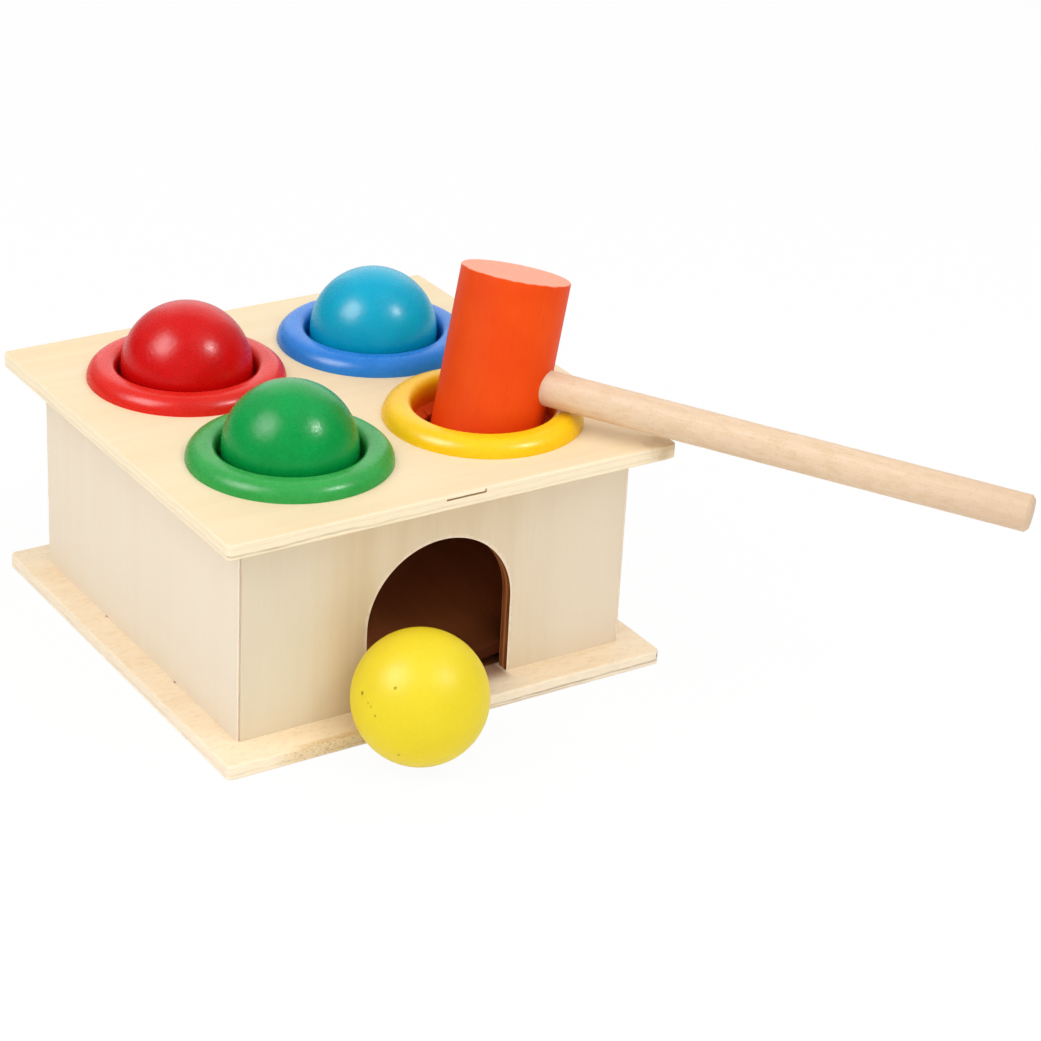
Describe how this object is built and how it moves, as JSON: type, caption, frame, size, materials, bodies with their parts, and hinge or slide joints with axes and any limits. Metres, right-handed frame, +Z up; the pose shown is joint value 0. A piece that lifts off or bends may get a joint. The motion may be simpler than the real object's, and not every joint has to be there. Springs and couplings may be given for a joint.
{
  "type": "ball pounding bench",
  "caption": "Plywood box toy with ringed holes: painted balls are hammered down through elastic lips, drop into a gutter and roll out of an arched doorway. Its wooden hammer belongs to it.",
  "frame": {"origin": "middle of the base plate's underside", "axes": "+Z up, -Y out of the doorway, +X to the right as seen from the doorway's side"},
  "size_m": [0.1795, 0.2038, 0.1024],
  "materials": {
    "plate_ply": "sanded plywood, clear varnish",
    "wall_ply": "sanded plywood",
    "inner_ply": "raw plywood",
    "red_moulding": "gloss",
    "blue_moulding": "gloss",
    "green_moulding": "gloss",
    "yellow_moulding": "gloss",
    "red_elastic": "matt",
    "blue_elastic": "matt",
    "green_elastic": "matt",
    "yellow_elastic": "matt",
    "red_paint": "satin paint",
    "sky_paint": "satin paint",
    "green_paint": "satin paint",
    "lemon_paint": "satin paint",
    "orange_paint": "satin paint",
    "beech": "sanded"
  },
  "bodies": {
    "bench": {"base_plate": "plate_ply", "top_plate": "plate_ply", "front_panel": "wall_ply", "back_panel": "wall_ply", "left_panel": "wall_ply", "right_panel": "wall_ply", "left_ramp": "inner_ply", "right_ramp": "inner_ply", "ramp_spine": "inner_ply", "left_cleat": "inner_ply", "right_cleat": "inner_ply", "red_collar": "red_moulding", "blue_collar": "blue_moulding", "green_collar": "green_moulding", "yellow_collar": "yellow_moulding", "red_grip": "red_elastic", "blue_grip": "blue_elastic", "green_grip": "green_elastic", "yellow_grip": "yellow_elastic"},
    "red_ball": {"red_ball": "red_paint"},
    "blue_ball": {"blue_ball": "sky_paint"},
    "green_ball": {"green_ball": "green_paint"},
    "yellow_ball": {"yellow_ball": "lemon_paint"},
    "hammer": {"hammer_head": "orange_paint", "hammer_handle": "beech"}
  },
  "joints": [
    {"name": "red_ball_drop", "type": "slide", "parent": "bench", "child": "red_ball", "axis": [0, 0, 1], "range_m": [-0.0302, 0.05], "deforming": ["red_grip"]},
    {"name": "blue_ball_drop", "type": "slide", "parent": "bench", "child": "blue_ball", "axis": [0, 0, 1], "range_m": [-0.0302, 0.05], "deforming": ["blue_grip"]},
    {"name": "green_ball_drop", "type": "slide", "parent": "bench", "child": "green_ball", "axis": [0, 0, 1], "range_m": [-0.0351, 0.05], "deforming": ["green_grip"]},
    {"name": "yellow_ball_roll", "type": "slide", "parent": "bench", "child": "yellow_ball", "axis": [0, -1, 0], "range_m": [0, 0.08]},
    {"name": "hammer_lift", "type": "slide", "parent": "bench", "child": "hammer", "axis": [0.2386, 0.1036, 0.9656], "range_m": [0, 0.08]}
  ]
}
